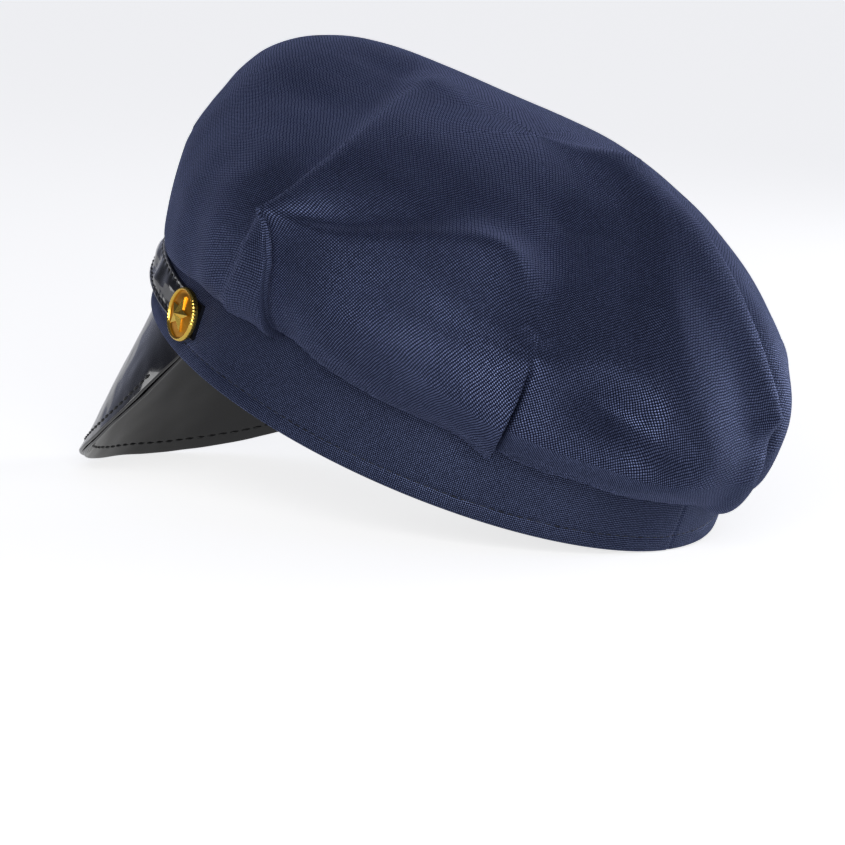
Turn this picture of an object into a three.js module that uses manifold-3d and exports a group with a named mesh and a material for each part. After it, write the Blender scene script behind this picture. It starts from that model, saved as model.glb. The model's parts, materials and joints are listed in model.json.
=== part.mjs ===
// A soft peaked cap: pleated cloth crown, headband, two-layer patent peak, strap and two star buttons.
// Millimetres, +Z up, the front of the cap towards -Y, the wearer's left towards +X.
// Every piece is shaped about the middle of the headband's lower edge, with the band level. The cap
// is then tipped forward-side up, as it stands by itself: on the peak's rim and the back of the band.
import * as THREE from 'three';
import { mergeVertices } from 'three/addons/utils/BufferGeometryUtils.js';
import Module from 'manifold-3d';

const wasm = await Module();
wasm.setup();

const GAP = 0.3;                                   // left between pieces that touch

const band = { side: 85.2, length: 102.2, height: 30, wall: 2, columns: 80 };

const crown = {
  wall: 1.4,
  cloth: 162,                                      // from the seam to the centre, along the cloth
  tuck: 0.06,                                      // share of that length that is turned under
  rim: 0.24,                                       // share at which the crown is widest
  top: 95.5, slope: 7.9, centre: 4.25,             // height at the centre, fall to the back per 100 mm
  topFull: 1.76, lipFull: 2.1,                     // 2 is an ellipse, more is squarer
  turn: 0.35,                                      // clearance from the band's face to the tuck
  panelColumns: 11,
};

// Sections round the crown. at: degrees from the front towards the wearer's left. out: how far the
// widest line stands out from the band. rim: its height. full: squareness of the section above it.
// lipOut and lip: place of the lowest fold, which hangs over the band.
const SECTIONS = [
  { at: 0,   out: 3.5,  rim: 71,   full: 2.35, lipOut: 2.0, lip: 23.5 },
  { at: 45,  out: 5,    rim: 46,   full: 2.15, lipOut: 2.0, lip: 22.2 },
  { at: 90,  out: 15.5, rim: 52.5, full: 2.35, lipOut: 2.6, lip: 28.4 },
  { at: 135, out: 16,   rim: 35.5, full: 2.13, lipOut: 3.6, lip: 24.7 },
  { at: 180, out: 13.5, rim: 30.5, full: 1.87, lipOut: 6.0, lip: 20.1 },
  { at: 225, out: 10.2, rim: 43.5, full: 1.65, lipOut: 5.0, lip: 20.4 },
  { at: 270, out: 19,   rim: 46,   full: 2.1,  lipOut: 3.2, lip: 25.6 },
  { at: 315, out: 10.2, rim: 50,   full: 2.1,  lipOut: 2.0, lip: 22.5 },
];

// Stitched pleats, each from the lip up to its tip. before and after: how proud the cloth stands on
// the side of the smaller and of the larger angle, so a pleat laps over its neighbour.
const PLEATS = [
  { at: 2,     tipAt: 0,   tip: 0.34, before: 2,    after: -0.8, wide: 16 },
  { at: 28,    tipAt: 28,  tip: 0.28, before: 0.6,  after: -0.3, wide: 14 },
  { at: 90,    tipAt: 84,  tip: 0.40, before: 1.5,  after: -1.5, wide: 10 },
  { at: 132.5, tipAt: 135, tip: 0.45, before: 2.6,  after: -1.5, wide: 9 },
  { at: 183,   tipAt: 193, tip: 0.40, before: 3.2,  after: -3,   wide: 12 },
  { at: 232,   tipAt: 230, tip: 0.36, before: 2.2,  after: -1,   wide: 16 },
  { at: 272,   tipAt: 276, tip: 0.36, before: 2.2,  after: -1,   wide: 16 },
  { at: 315,   tipAt: 312, tip: 0.34, before: 2,    after: -0.8, wide: 16 },
];

// Soft folds and dents, each along a path of stations [at, up] on the flat cloth, where up is 0 at the
// seam and 1 at the centre. high: height, negative for a dent. far: the share of it left at the end.
// before and after: width to the left and to the right of someone who walks along the path. start:
// the share of those widths at the path's start.
const FOLDS = [
  // tongue beside the first side pleat
  { path: [[80, 0.13], [83, 0.2], [83.8, 0.29], [83.2, 0.385]],
    high: 2.4, far: 0.9, before: 2.6, after: 9, start: 1 },
  // ridge from that pleat forward over the top
  { path: [[84, 0.395], [84.5, 0.51], [83.5, 0.565], [81.5, 0.63],
      [78, 0.69], [70.5, 0.75], [54, 0.8], [30, 0.845]],
    high: 4, far: 0.8, before: 4.5, after: 16, start: 0.4 },
  // hollow in front of the ridge
  { path: [[82, 0.41], [80, 0.55], [74, 0.65], [62, 0.71], [42, 0.75], [12, 0.77]],
    high: -2, far: 2.4, before: 22, after: 7, start: 0.4 },
  // hollow in front of the tongue
  { path: [[79, 0.17], [81, 0.24], [82, 0.36]],
    high: -1, far: 1.2, before: 6, after: 3, start: 1 },
  // swell of the front lobe
  { path: [[72, 0.14], [72, 0.26], [70, 0.42]],
    high: 0.5, far: 1, before: 9, after: 7, start: 1 },
  // hollow of the front lobe
  { path: [[66, 0.14], [65, 0.26], [60, 0.4]],
    high: -0.8, far: 0.8, before: 14, after: 14, start: 1 },
  // gather that fans from the pleat tip
  { path: [[85, 0.4], [91, 0.53], [98, 0.63]],
    high: 1.2, far: 1.8, before: 13, after: 10, start: 0.3 },
  // hollow above the swag
  { path: [[86, 0.395], [96, 0.485], [103, 0.57], [110, 0.635], [117, 0.69], [126, 0.725]],
    high: -1.8, far: 1, before: 9, after: 9, start: 0.3 },
  // swag between the side pleats
  { path: [[85, 0.385], [95, 0.445], [103, 0.52], [111, 0.585], [119, 0.63], [127, 0.64]],
    high: 2.4, far: 1.4, before: 11, after: 24, start: 0.4 },
  // edge of the swag
  { path: [[85, 0.385], [95, 0.445], [103, 0.52], [111, 0.585], [119, 0.63], [127, 0.64]],
    high: 1, far: 1.2, before: 4.5, after: 4.5, start: 0.4 },
  // end of the swag
  { path: [[126, 0.635], [132.5, 0.6], [136.5, 0.53]],
    high: 2.6, far: 1, before: 8, after: 13, start: 1 },
  // wedge behind the first side pleat
  { path: [[94, 0.12], [93, 0.24], [89, 0.35]],
    high: -1.2, far: 0.6, before: 4, after: 12, start: 1 },
  // swell of the side
  { path: [[104, 0.27], [114, 0.33], [126, 0.4]],
    high: 2, far: 1, before: 20, after: 18, start: 1 },
  // flat spot on the side
  { path: [[119, 0.28], [119, 0.42]],
    high: -1.6, far: 1, before: 8, after: 8, start: 1 },
  // hollow above the second side pleat
  { path: [[136, 0.53], [137, 0.62], [140, 0.71], [146, 0.79]],
    high: -6.5, far: 0.8, before: 8, after: 10, start: 1 },
  // ridge behind that hollow
  { path: [[160, 0.32], [162, 0.42], [165, 0.52], [170, 0.62], [179, 0.7], [190, 0.76]],
    high: 6, far: 0.7, before: 8, after: 26, start: 1 },
  // step behind the second side pleat
  { path: [[137, 0.46], [145, 0.49], [153, 0.51]],
    high: 2.4, far: 1, before: 8, after: 9, start: 1 },
  // dent under the step
  { path: [[150, 0.41], [157, 0.38], [163, 0.33]],
    high: -5.6, far: 0.8, before: 8, after: 10, start: 1 },
  // ridge from the back pleat over the top
  { path: [[192, 0.4], [191.5, 0.47], [192.5, 0.54], [195, 0.61], [201, 0.69], [214, 0.76], [232, 0.81]],
    high: 6.2, far: 1.1, before: 16, after: 4, start: 0.6 },
  // hollow behind that ridge
  { path: [[189, 0.13], [195, 0.33], [199, 0.45], [203, 0.54], [214, 0.61], [233, 0.69]],
    high: -4.2, far: 0.9, before: 5, after: 10, start: 1 },
  // fullness of the front
  { path: [[0, 0.55], [40, 0.5]],
    high: 2, far: 1, before: 30, after: 30, start: 1 },
];

const peak = {
  reach: 63,                                       // degrees to each side of the front
  depth: 74, curve: 2.25,                          // depth at the middle, and how it fades to the sides
  steep: 80.5, steepSide: 85,                      // degrees below the band's plane
  allowance: 7,                                    // sewn in behind the band
  layer: 1,
  columns: 34, rows: 5,
  least: 0.2,                                      // spacing that is left between the rows at the tips
};

const strap = {
  reach: 69, low: 8.5, high: 20.5, wall: 1.3,
  stand: 2.2,                                      // how far the lower edge stands out at the front
  columns: 36,
};

const button = {
  at: 65, height: 14, radius: 8.5, rimWidth: 1.0, rimHeight: 2.2, field: 1.5, dome: 2.2,
  starTip: 5.9, starNotch: 2.3, starFoot: 2.5, starRise: 3.9,
  shankRadius: 1.5, shankLength: 4.6, sides: 28,
};

const radians = THREE.MathUtils.degToRad;

const finish = {
  cloth: { color: 0x36405a, roughness: 0.85, metalness: 0 },
  patent: { color: 0x0a0a0c, roughness: 0.12, metalness: 0 },
  underside: { color: 0x1a1a20, roughness: 0.2, metalness: 0 },
  gilt: { color: 0xd6a21e, roughness: 0.25, metalness: 1 },
};

// ---------------------------------------------------------------- shared geometry

// A level oval round the head, moved out from the band's face by `out`.
function oval(at, out) {
  const turn = radians(at);
  const x = band.side * Math.sin(turn);
  const y = -band.length * Math.cos(turn);
  const way = outward(at);
  return new THREE.Vector3(x + out * way.x, y + out * way.y, 0);
}

function outward(at) {
  const turn = radians(at);
  return new THREE.Vector3(Math.sin(turn) / band.side, -Math.cos(turn) / band.length, 0).normalize();
}

// Skin over a row of loops that all have the same number of points. With ends 'points', the first and
// last loops are single points; with 'joined', the last loop meets the first; with 'flat', each end
// loop is a long thin section whose two long sides are paired point by point.
function skin(loops, ends) {
  const around = Math.max(...loops.map((loop) => loop.length));
  const positions = loops.flat().flatMap((point) => point.toArray());
  const starts = [];
  let count = 0;
  for (const loop of loops) {
    starts.push(count);
    count += loop.length;
  }
  const index = (loop, step) => starts[loop] + (loops[loop].length === 1 ? 0 : step % around);
  const faces = [];
  const last = ends === 'joined' ? loops.length : loops.length - 1;
  for (let row = 0; row < last; row++) {
    const next = (row + 1) % loops.length;
    for (let step = 0; step < around; step++) {
      const [a, b] = [index(row, step), index(row, step + 1)];
      const [c, d] = [index(next, step + 1), index(next, step)];
      if (a !== b) faces.push(a, b, c);
      if (c !== d) faces.push(a, c, d);
    }
  }
  if (ends === 'flat') {
    for (const [row, turned] of [[0, true], [loops.length - 1, false]]) {
      for (let step = 0; step < around / 2 - 1; step++) {
        const [a, b] = [index(row, step), index(row, step + 1)];
        const [c, d] = [index(row, around - 2 - step), index(row, around - 1 - step)];
        if (turned) faces.push(a, c, b, a, d, c);
        else faces.push(a, b, c, a, c, d);
      }
    }
  }
  const geometry = new THREE.BufferGeometry();
  geometry.setAttribute('position', new THREE.Float32BufferAttribute(positions, 3));
  geometry.setIndex(faces);
  return geometry;
}

function toSolid(geometry, matrix) {
  const plain = geometry.clone();
  plain.deleteAttribute('normal');
  plain.deleteAttribute('uv');
  if (matrix) plain.applyMatrix4(matrix);
  const merged = mergeVertices(plain, 1e-4);
  return new wasm.Manifold(new wasm.Mesh({
    numProp: 3,
    vertProperties: new Float32Array(merged.attributes.position.array),
    triVerts: new Uint32Array(merged.index.array),
  }));
}

function toGeometry(solid) {
  const mesh = solid.getMesh();
  const geometry = new THREE.BufferGeometry();
  geometry.setAttribute('position', new THREE.Float32BufferAttribute(mesh.vertProperties, 3));
  geometry.setIndex(Array.from(mesh.triVerts));
  return geometry;
}

function piece(name, geometry, look) {
  geometry.computeVertexNormals();
  const mesh = new THREE.Mesh(geometry, new THREE.MeshStandardMaterial({ flatShading: true, ...look }));
  mesh.name = name;
  return mesh;
}

// ---------------------------------------------------------------- crown

// A column of SECTIONS at any angle, as a smooth closed curve through the table's rows.
function section(column, at) {
  const count = SECTIONS.length;
  const place = THREE.MathUtils.euclideanModulo(at, 360) / (360 / count);
  const row = Math.floor(place);
  const f = place - row;
  const [p, q, r, s] = [-1, 0, 1, 2].map((step) => SECTIONS[(row + step + count) % count][column]);
  const bend = (2 * p - 5 * q + 4 * r - s) * f ** 2 + (3 * q - p - 3 * r + s) * f ** 3;
  return 0.5 * (2 * q + (r - p) * f + bend);
}

// Where a spot of the crown would lie without its folds. inset moves it in through the wall.
function plainCrown(at, up, inset) {
  const lipOut = section('lipOut', at);
  const lip = section('lip', at);
  const seam = band.height + GAP;
  if (up < crown.tuck) {
    // over the band's top edge, down its face, and out round the lip
    const share = up / crown.tuck;
    const turn = lipOut - crown.turn;
    if (share <= 0.2) {
      const out = THREE.MathUtils.mapLinear(share, 0, 0.2, 0.2 - band.wall, crown.turn + inset);
      return oval(at, out).setZ(seam + inset);
    }
    if (share <= 0.5) {
      const high = THREE.MathUtils.mapLinear(share, 0.2, 0.5, seam + inset, lip + turn);
      return oval(at, crown.turn + inset).setZ(high);
    }
    const angle = (share - 0.5) * Math.PI;
    const radius = turn - inset;
    return oval(at, lipOut - radius * Math.cos(angle)).setZ(lip + turn - radius * Math.sin(angle));
  }
  const rim = section('rim', at);
  const wide = oval(at, section('out', at) - inset);
  if (up < crown.rim) {
    // the hanging roll, from the lip out and up to the widest line
    const angle = (up - crown.tuck) / (crown.rim - crown.tuck) * Math.PI / 2;
    const spread = Math.sin(angle) ** (2 / crown.lipFull);
    const drop = Math.cos(angle) ** (2 / crown.lipFull);
    return oval(at, lipOut).lerp(wide, spread).setZ(rim - (rim - lip - inset) * drop);
  }
  // the dome, from the widest line to the centre
  const angle = Math.min(1, (up - crown.rim) / (1 - crown.rim)) * Math.PI / 2;
  const spread = Math.max(0, Math.cos(angle)) ** (2 / section('full', at));
  const y = crown.centre + (wide.y - crown.centre) * spread;
  const height = crown.top - inset - crown.slope * (y - crown.centre) / 100 - rim;
  return new THREE.Vector3(wide.x * spread, y, rim + height * Math.sin(angle) ** (2 / crown.topFull));
}

// A spot of the cloth laid flat, with the crown's centre in the middle.
function flat(at, up) {
  const turn = radians(at);
  return new THREE.Vector2(Math.sin(turn), -Math.cos(turn)).multiplyScalar(crown.cloth * (1 - up));
}

// Each fold's path as a smooth line of points on the flat cloth, with its length up to each point.
const foldLines = FOLDS.map(({ path }) => {
  const steps = 5;                                 // points to each stretch between two stations
  const curve = new THREE.SplineCurve(path.map(([at, up]) => flat(at, up)));
  const points = curve.getPoints(steps * (path.length - 1));
  const lengths = [0];
  for (let row = 1; row < points.length; row++) {
    lengths.push(lengths[row - 1] + points[row].distanceTo(points[row - 1]));
  }
  return { points, lengths };
});

// The nearest place on a line to a spot: how far off the line the spot is (below zero before it), how
// far beyond the line's ends, and its share of the way.
function besideLine(spot, { points, lengths }) {
  let nearest = { distance: Infinity };
  const last = points.length - 2;
  for (let row = 0; row <= last; row++) {
    const step = points[row + 1].clone().sub(points[row]).normalize();
    const from = spot.clone().sub(points[row]);
    const along = from.dot(step);
    const across = from.x * step.y - from.y * step.x;
    const walked = THREE.MathUtils.clamp(along, 0, lengths[row + 1] - lengths[row]);
    const distance = Math.hypot(across, along - walked);
    if (distance < nearest.distance) {
      const past = (row === 0 && along < 0) || (row === last && along > walked);
      nearest = {
        distance,
        off: past ? across : Math.sign(across) * distance,
        beyond: past ? along - walked : 0,
        share: (lengths[row] + walked) / lengths.at(-1),
      };
    }
  }
  return nearest;
}

function bump(distance, width) {
  return Math.exp(-((distance / width) ** 2));
}

function pleatHeight(at, up, pleat, side) {
  if (up >= pleat.tip) return 0;
  const line = pleatLine(pleat, up);
  const round = crown.cloth * (1 - up) * radians(Math.abs(angleBetween(line, at)));
  const fade = Math.cos(up / pleat.tip * Math.PI / 2) ** 0.4;
  return pleat[side] * fade * bump(round, pleat.wide);
}

// The angle of a pleat's stitched line at a height on the cloth. It leaves the lip square to it and
// bends to its tip; above that it runs on to the centre, straight up the cloth.
function pleatLine(pleat, up) {
  const share = THREE.MathUtils.clamp((up - crown.tuck) / (pleat.tip - crown.tuck), 0, 1);
  return pleat.at + angleBetween(pleat.at, pleat.tipAt) * share ** 2;
}

function angleBetween(from, to) {
  return THREE.MathUtils.euclideanModulo(to - from + 180, 360) - 180;
}

// Height of the folds over the plain crown. panel is the stretch of cloth between two pleats, which
// settles on which side of each pleat a spot lies.
function foldHeight(at, up, panel) {
  const spot = flat(at, up);
  let high = 0;
  FOLDS.forEach((fold, row) => {
    const { off, beyond, share } = besideLine(spot, foldLines[row]);
    const spread = THREE.MathUtils.lerp(fold.start, 1, share);
    const width = (off < 0 ? fold.before : fold.after) * spread;
    const end = (fold.before + fold.after) / 2 * spread;
    high += fold.high * THREE.MathUtils.lerp(1, fold.far, share) * bump(off, width) * bump(beyond, end);
  });
  const next = (panel + 1) % PLEATS.length;
  high += pleatHeight(at, up, PLEATS[panel], 'after');
  high += pleatHeight(at, up, PLEATS[next], 'before');
  return high * THREE.MathUtils.smoothstep(up, crown.tuck / 2, crown.tuck);
}

function crownPoint(at, up, inset, panel) {
  const point = plainCrown(at, up, inset);
  const rising = up < crown.rim
    ? Math.max(-1, (up - crown.rim) / (crown.rim - crown.tuck))
    : (up - crown.rim) / (1 - crown.rim);
  const angle = rising * Math.PI / 2;
  const way = outward(at).multiplyScalar(Math.cos(angle)).setZ(Math.sin(angle));
  return point.addScaledVector(way, foldHeight(at, up, panel));
}

function crownLoop(up, inset) {
  const loop = [];
  PLEATS.forEach((pleat, panel) => {
    const step = 0.3;                              // degrees from a pleat's line to the nearest column
    const start = pleatLine(pleat, up) + step;
    const span = THREE.MathUtils.euclideanModulo(
      pleatLine(PLEATS[(panel + 1) % PLEATS.length], up) - step - start, 360);
    for (let column = 0; column < crown.panelColumns; column++) {
      const at = start + span * column / (crown.panelColumns - 1);
      loop.push(crownPoint(at, up, inset, panel));
    }
  });
  return loop;
}

function makeCrown() {
  const { tuck, rim } = crown;
  const under = [0, 0.2 * tuck, 0.5 * tuck, 0.75 * tuck];
  const roll = [0, 0.25, 0.5, 0.75].map((share) => tuck + (rim - tuck) * share);
  const rises = [0, 0.08, 0.16, 0.24, 0.32, 0.4, 0.48, 0.56, 0.64, 0.73, 0.82, 0.91];
  const dome = rises.map((share) => rim + (1 - rim) * share);
  const rows = [...under, ...roll, ...dome];
  const loops = [
    [crownPoint(0, 1, crown.wall, 0)],
    ...rows.toReversed().map((up) => crownLoop(up, crown.wall)),
    ...rows.map((up) => crownLoop(up, 0)),
    [crownPoint(0, 1, 0, 0)],
  ];
  return piece('crown', skin(loops, 'points'), finish.cloth);
}

// ---------------------------------------------------------------- headband

function holeFor(at) {
  const shape = new THREE.CylinderGeometry(button.shankRadius + GAP, button.shankRadius + GAP, 20, 16);
  return toSolid(shape, buttonPlace(at).multiply(new THREE.Matrix4().makeRotationX(Math.PI / 2)));
}

function makeHeadband() {
  const corners = [[0, 0], [0, band.height], [-band.wall, band.height], [-band.wall, 0]];
  const loops = corners.map(([out, height]) => {
    const loop = [];
    for (let column = 0; column < band.columns; column++) {
      loop.push(oval(360 * column / band.columns, out).setZ(height));
    }
    return loop;
  });
  let solid = toSolid(skin(loops, 'joined'));
  for (const side of [1, -1]) solid = solid.subtract(holeFor(side * button.at));
  return piece('headband', toGeometry(solid), finish.cloth);
}

// ---------------------------------------------------------------- peak

// A spot of the peak, `down` mm below the band's lower edge (above it, in the sewn allowance) and
// `depth` mm in from its upper face.
function peakPoint(at, down, depth) {
  const side = (Math.abs(at) / peak.reach) ** 2;
  const steep = radians(THREE.MathUtils.lerp(peak.steep, peak.steepSide, side));
  const behind = -band.wall - GAP;
  if (down <= 0) return oval(at, behind - depth).setZ(-down);
  const out = down * Math.cos(steep) - depth * Math.sin(steep);
  return oval(at, behind + out).setZ(-down * Math.sin(steep) - depth * Math.cos(steep));
}

function peakSection(at, top) {
  const depth = peak.depth * Math.max(0, 1 - (Math.abs(at) / peak.reach) ** peak.curve);
  const downs = [-peak.allowance];
  for (let row = 0; row <= peak.rows; row++) downs.push(depth * row / peak.rows + peak.least * (row + 1));
  const front = downs.map((down) => peakPoint(at, down, top));
  const back = downs.map((down) => peakPoint(at, down, top + peak.layer));
  return [...front, ...back.toReversed()];
}

function makePeakLayer(name, top, look) {
  const loops = [];
  for (let column = 0; column <= peak.columns; column++) {
    const spread = 2 * column / peak.columns - 1;
    loops.push(peakSection(peak.reach * Math.sin(spread * Math.PI / 2), top));
  }
  return piece(name, skin(loops, 'flat'), look);
}

// ---------------------------------------------------------------- strap

function strapPoint(at, height, inset) {
  const low = THREE.MathUtils.mapLinear(height, strap.low, strap.high, 1, 0);
  const loose = Math.max(0, 1 - (at / button.at) ** 2);
  return oval(at, GAP + strap.stand * low * loose + strap.wall - inset).setZ(height);
}

function makeStrap() {
  const loops = [];
  for (let column = 0; column <= strap.columns; column++) {
    const at = strap.reach * (2 * column / strap.columns - 1);
    loops.push([
      strapPoint(at, strap.high, 0), strapPoint(at, strap.low, 0),
      strapPoint(at, strap.low, strap.wall), strapPoint(at, strap.high, strap.wall),
    ]);
  }
  let solid = toSolid(skin(loops, 'flat'));
  for (const side of [1, -1]) solid = solid.subtract(holeFor(side * button.at));
  return piece('strap', toGeometry(solid), finish.patent);
}

// ---------------------------------------------------------------- buttons

// The button's own frame: +Z out of the band, +Y up the band, the origin under its back.
function buttonPlace(at) {
  const out = outward(at);
  const up = new THREE.Vector3(0, 0, 1);
  const along = new THREE.Vector3().crossVectors(up, out);
  const place = new THREE.Matrix4().makeBasis(along, up, out);
  return place.setPosition(oval(at, strap.wall + 2 * GAP).setZ(button.height));
}

function starGeometry() {
  const foot = [];
  const points = 5;
  for (let corner = 0; corner < 2 * points; corner++) {
    const radius = corner % 2 === 0 ? button.starTip : button.starNotch;
    const turn = Math.PI / 2 + corner * Math.PI / points;
    foot.push(new THREE.Vector3(radius * Math.cos(turn), radius * Math.sin(turn), button.field - 0.5));
  }
  const shoulder = foot.map((corner) => corner.clone().setZ(button.starFoot));
  const apex = [new THREE.Vector3(0, 0, button.starRise)];
  const base = [new THREE.Vector3(0, 0, button.field - 0.5)];
  return skin([base, foot, shoulder, apex], 'points');
}

function makeButton(name, at) {
  const { radius, rimWidth, rimHeight, field, dome, shankRadius, shankLength } = button;
  const profile = [
    [0, -shankLength], [shankRadius, -shankLength], [shankRadius, 0], [radius - 0.5, 0], [radius, 0.6],
    [radius, rimHeight - 0.4], [radius - rimWidth / 2, rimHeight], [radius - rimWidth, field],
    [radius * 0.6, THREE.MathUtils.lerp(field, dome, 0.6)],
    [radius * 0.3, THREE.MathUtils.lerp(field, dome, 0.9)], [0, dome],
  ].map(([out, up]) => new THREE.Vector2(out, up));
  const stand = new THREE.Matrix4().makeRotationX(Math.PI / 2);
  const disc = toSolid(new THREE.LatheGeometry(profile, button.sides), stand);
  const solid = disc.add(toSolid(starGeometry()));
  const mesh = piece(name, toGeometry(solid), finish.gilt);
  buttonPlace(at).decompose(mesh.position, mesh.quaternion, mesh.scale);
  return mesh;
}

// ---------------------------------------------------------------- assembly and rest

const cap = new THREE.Group();
cap.add(
  makeCrown(),
  makeHeadband(),
  makePeakLayer('peak', 0, finish.patent),
  makePeakLayer('peak_underside', peak.layer + GAP, finish.underside),
  makeStrap(),
  makeButton('button_left', button.at),
  makeButton('button_right', -button.at),
);

function corners(object) {
  object.updateMatrixWorld(true);
  const points = [];
  object.traverse((node) => {
    if (!node.isMesh) return;
    const { position } = node.geometry.attributes;
    for (let row = 0; row < position.count; row++) {
      points.push(new THREE.Vector3().fromBufferAttribute(position, row).applyMatrix4(node.matrixWorld));
    }
  });
  return points;
}

// The tilt at which the front and the back of the cap are equally low, found by halving.
function restTilt(points) {
  const lowest = (tilt, front) => Math.min(...points
    .filter((point) => (point.y < 0) === front)
    .map((point) => point.y * Math.sin(tilt) + point.z * Math.cos(tilt)));
  let [less, more] = [0, radians(45)];
  for (let step = 0; step < 40; step++) {
    const middle = (less + more) / 2;
    if (lowest(-middle, true) < lowest(-middle, false)) less = middle;
    else more = middle;
  }
  return less;
}

cap.rotation.x = -restTilt(corners(cap));
const box = new THREE.Box3().setFromPoints(corners(cap));
const middle = box.getCenter(new THREE.Vector3());
cap.position.set(-middle.x, -middle.y, -box.min.z);

const model = new THREE.Group();
model.add(cap);
export default model;
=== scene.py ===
# %% [markdown]
# # A soft peaked cap
#
# A navy cloth cap: a round, pleated crown that hangs a little over its headband, a glossy patent
# peak of two layers, a narrow patent strap across the front, and a gilt star button at each end of
# the strap. Every shape here is a function of two parameters, worked out with numpy on a grid and
# put into a mesh. Cloth is a good subject for that: it is one sheet, so one function can hold the
# whole crown, and its folds are rows in a table.

# %% Load the fixed frame
import json
from collections import namedtuple

import bpy
import numpy as np
from mathutils import Matrix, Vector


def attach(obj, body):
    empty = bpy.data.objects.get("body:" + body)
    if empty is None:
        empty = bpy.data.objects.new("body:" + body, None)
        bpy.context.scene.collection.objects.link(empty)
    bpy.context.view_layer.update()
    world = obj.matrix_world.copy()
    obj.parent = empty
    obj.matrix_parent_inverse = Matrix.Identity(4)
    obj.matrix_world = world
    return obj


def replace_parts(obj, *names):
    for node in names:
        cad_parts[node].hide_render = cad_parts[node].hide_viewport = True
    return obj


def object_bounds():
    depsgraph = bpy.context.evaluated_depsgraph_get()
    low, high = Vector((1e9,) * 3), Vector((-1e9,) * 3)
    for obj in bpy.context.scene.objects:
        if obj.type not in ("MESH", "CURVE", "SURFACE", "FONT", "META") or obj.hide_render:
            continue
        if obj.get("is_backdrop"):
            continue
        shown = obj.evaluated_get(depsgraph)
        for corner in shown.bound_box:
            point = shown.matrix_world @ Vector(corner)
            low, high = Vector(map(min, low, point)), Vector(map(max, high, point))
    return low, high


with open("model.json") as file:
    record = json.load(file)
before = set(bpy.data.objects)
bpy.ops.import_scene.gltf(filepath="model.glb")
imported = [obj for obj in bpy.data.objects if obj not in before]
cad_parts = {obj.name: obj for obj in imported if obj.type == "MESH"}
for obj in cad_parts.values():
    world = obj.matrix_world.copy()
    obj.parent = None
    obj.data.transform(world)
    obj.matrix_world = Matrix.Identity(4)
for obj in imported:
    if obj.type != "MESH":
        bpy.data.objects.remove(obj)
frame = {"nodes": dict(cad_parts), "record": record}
cad_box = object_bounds()
print("nodes in the frame:", ", ".join(sorted(frame["nodes"])))

# %% [markdown]
# ## Standing the cap up
#
# A hat is easiest to think of with its band level: the oval of the band's lower edge lies flat,
# the front is towards -Y and the wearer's left towards +X. Standing by itself, the cap is tipped
# back, on its peak and the back of its band. The frame's mount on the band's rim says how far:
# its axis points straight out of the band's lower edge. So each piece is shaped in millimetres
# with the band level, and one function stands it up and turns it into metres.

# %% The band's own directions, and how to stand a shape up
MM = 0.001
BAND_SIDE = 85.2          # from the middle of the band to its side, outside
BAND_LENGTH = 102.2       # from the middle of the band to its front, outside
BAND_HEIGHT = 30.0
BAND_WALL = 2.0
GAP = 0.3                 # left between pieces that touch


def unit(vectors):
    """The same directions, of length 1."""
    return vectors / np.linalg.norm(vectors, axis=-1, keepdims=True)


rim_mount = next(mount for mount in frame["record"]["mounts"] if mount["name"] == "band_rim")
band_up = -unit(np.array(rim_mount["axis"]))
band_left = np.array([1.0, 0.0, 0.0])
band_back = np.cross(band_up, band_left)
band_axes = np.stack([band_left, band_back, band_up])
band_middle = np.array(rim_mount["pos_m"]) - band_left * (BAND_SIDE - BAND_WALL / 2) * MM


def stand(points):
    """Level millimetres to standing metres: turned onto the band's axes, then moved to its middle."""
    return np.asarray(points) * MM @ band_axes + band_middle


tilt = np.degrees(np.arccos(band_up[2]))
print(f"the band is tipped {tilt:.1f} degrees; its middle is at {np.round(band_middle, 4)}")

# %% [markdown]
# ## The camera
#
# The cap is seen from its left and a little behind, from far away with a long lens, which keeps
# the oval of the band nearly free of perspective. The camera's direction is given against the
# band, so it keeps its angle to the cap whatever way the cap stands.

# %% Camera
VIEW_ROUND = 125.26       # degrees from the front, towards the wearer's left
VIEW_ABOVE = 19.03        # degrees above the band's plane
VIEW_ROLL = 19.28
VIEW_DISTANCE = 1500.0
VIEW_SHIFT = (-3.11, -6.20)
VIEW_LENS = 200.0


def camera_axes(around, above, roll):
    """Right, up and back of a camera that looks at the middle, turned by roll about its own axis."""
    a, e, t = np.radians([around, above, roll])
    back = np.array([np.sin(a) * np.cos(e), -np.cos(a) * np.cos(e), np.sin(e)])
    right = np.array([np.cos(a), np.sin(a), 0.0])
    up = np.cross(back, right)
    return right * np.cos(t) + up * np.sin(t), -right * np.sin(t) + up * np.cos(t), back


camera_data = bpy.data.cameras.new("camera")
camera_data.lens = VIEW_LENS
camera = bpy.data.objects.new("camera", camera_data)
bpy.context.scene.collection.objects.link(camera)
bpy.context.scene.camera = camera
right, up, back = camera_axes(VIEW_ROUND, VIEW_ABOVE, VIEW_ROLL)
spot = back * VIEW_DISTANCE + right * VIEW_SHIFT[0] + up * VIEW_SHIFT[1]
turned = Matrix([list(axis @ band_axes) for axis in (right, up, back)]).transposed()
camera.matrix_world = Matrix.Translation(stand(spot)) @ turned.to_4x4()
print("camera at", np.round(stand(spot), 3))

# %% [markdown]
# ## From functions to meshes
#
# Every piece below is a grid of points: rows one way, columns the other. These helpers join the
# grid into quads and make the object. A grid that closes on itself both ways, or whose ends are
# capped, is a solid with no loose edges.

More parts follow.
